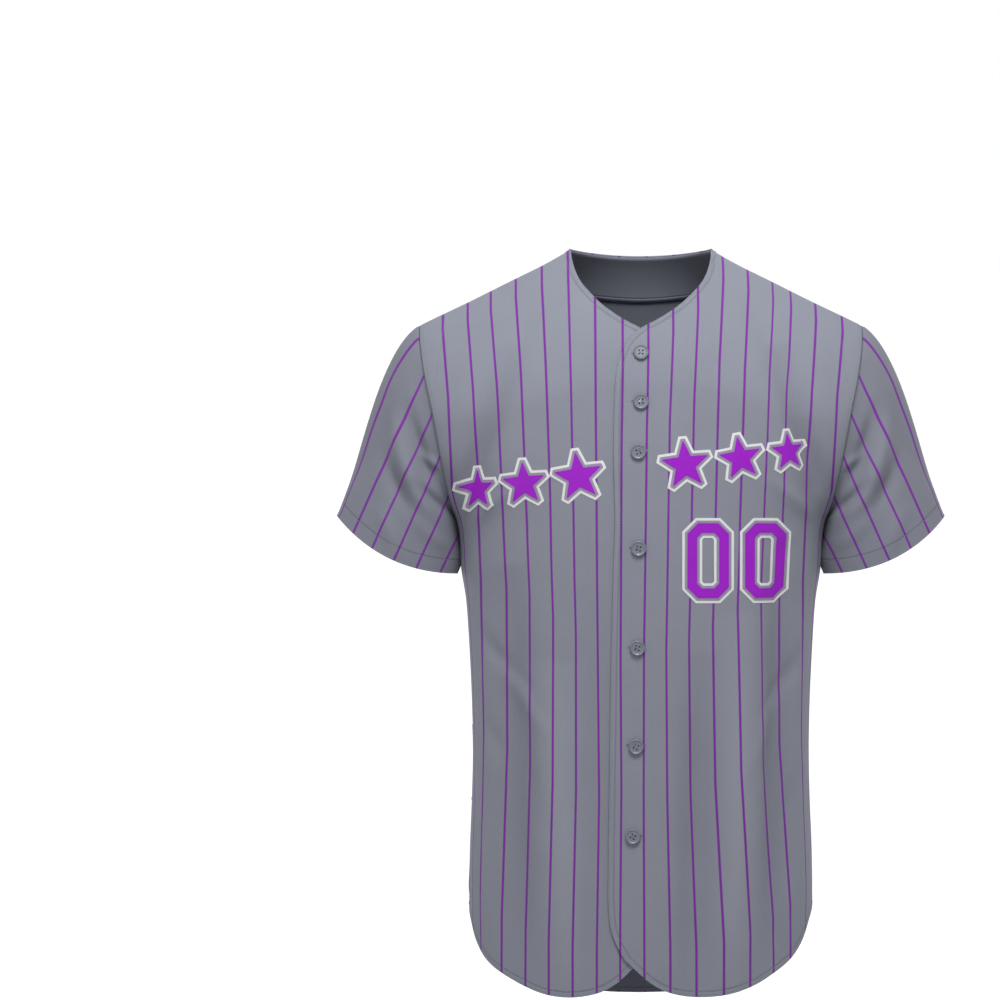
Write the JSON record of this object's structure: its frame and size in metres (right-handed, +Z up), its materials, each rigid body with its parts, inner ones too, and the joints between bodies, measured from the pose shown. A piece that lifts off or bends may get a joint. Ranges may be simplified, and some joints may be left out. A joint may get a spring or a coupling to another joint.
{
  "type": "baseball jersey",
  "caption": "Button-front baseball jersey with a V neck, set-in short sleeves, pinstripes and a curved shirt-tail hem, filled out as worn.",
  "frame": {"origin": "middle of the neck, level with the two points where the shoulder seams reach the neck, where the wearer's shoulders carry the jersey", "axes": "+Z up, the buttoned front faces -Y, and the wearer's left side is +X"},
  "size_m": [0.6354, 0.2303, 0.7837],
  "materials": {
    "jersey_knit": "grey polyester mesh knit with fine purple pinstripes, matt with a faint sheen",
    "facing_knit": "grey polyester mesh knit, inner side",
    "button_plastic": "grey moulded, satin",
    "twill_purple": "purple twill applique",
    "twill_grey": "light grey twill applique",
    "twill_white": "white twill applique",
    "thread": "grey sewing thread"
  },
  "bodies": {
    "root": {"back": "jersey_knit", "front_left": "jersey_knit", "front_right": "jersey_knit", "sleeve_left": "jersey_knit", "sleeve_right": "jersey_knit", "neck_facing": "facing_knit", "button_1": "button_plastic", "button_2": "button_plastic", "button_3": "button_plastic", "button_4": "button_plastic", "button_5": "button_plastic", "button_6": "button_plastic", "button_7": "button_plastic"}
  },
  "joints": []
}
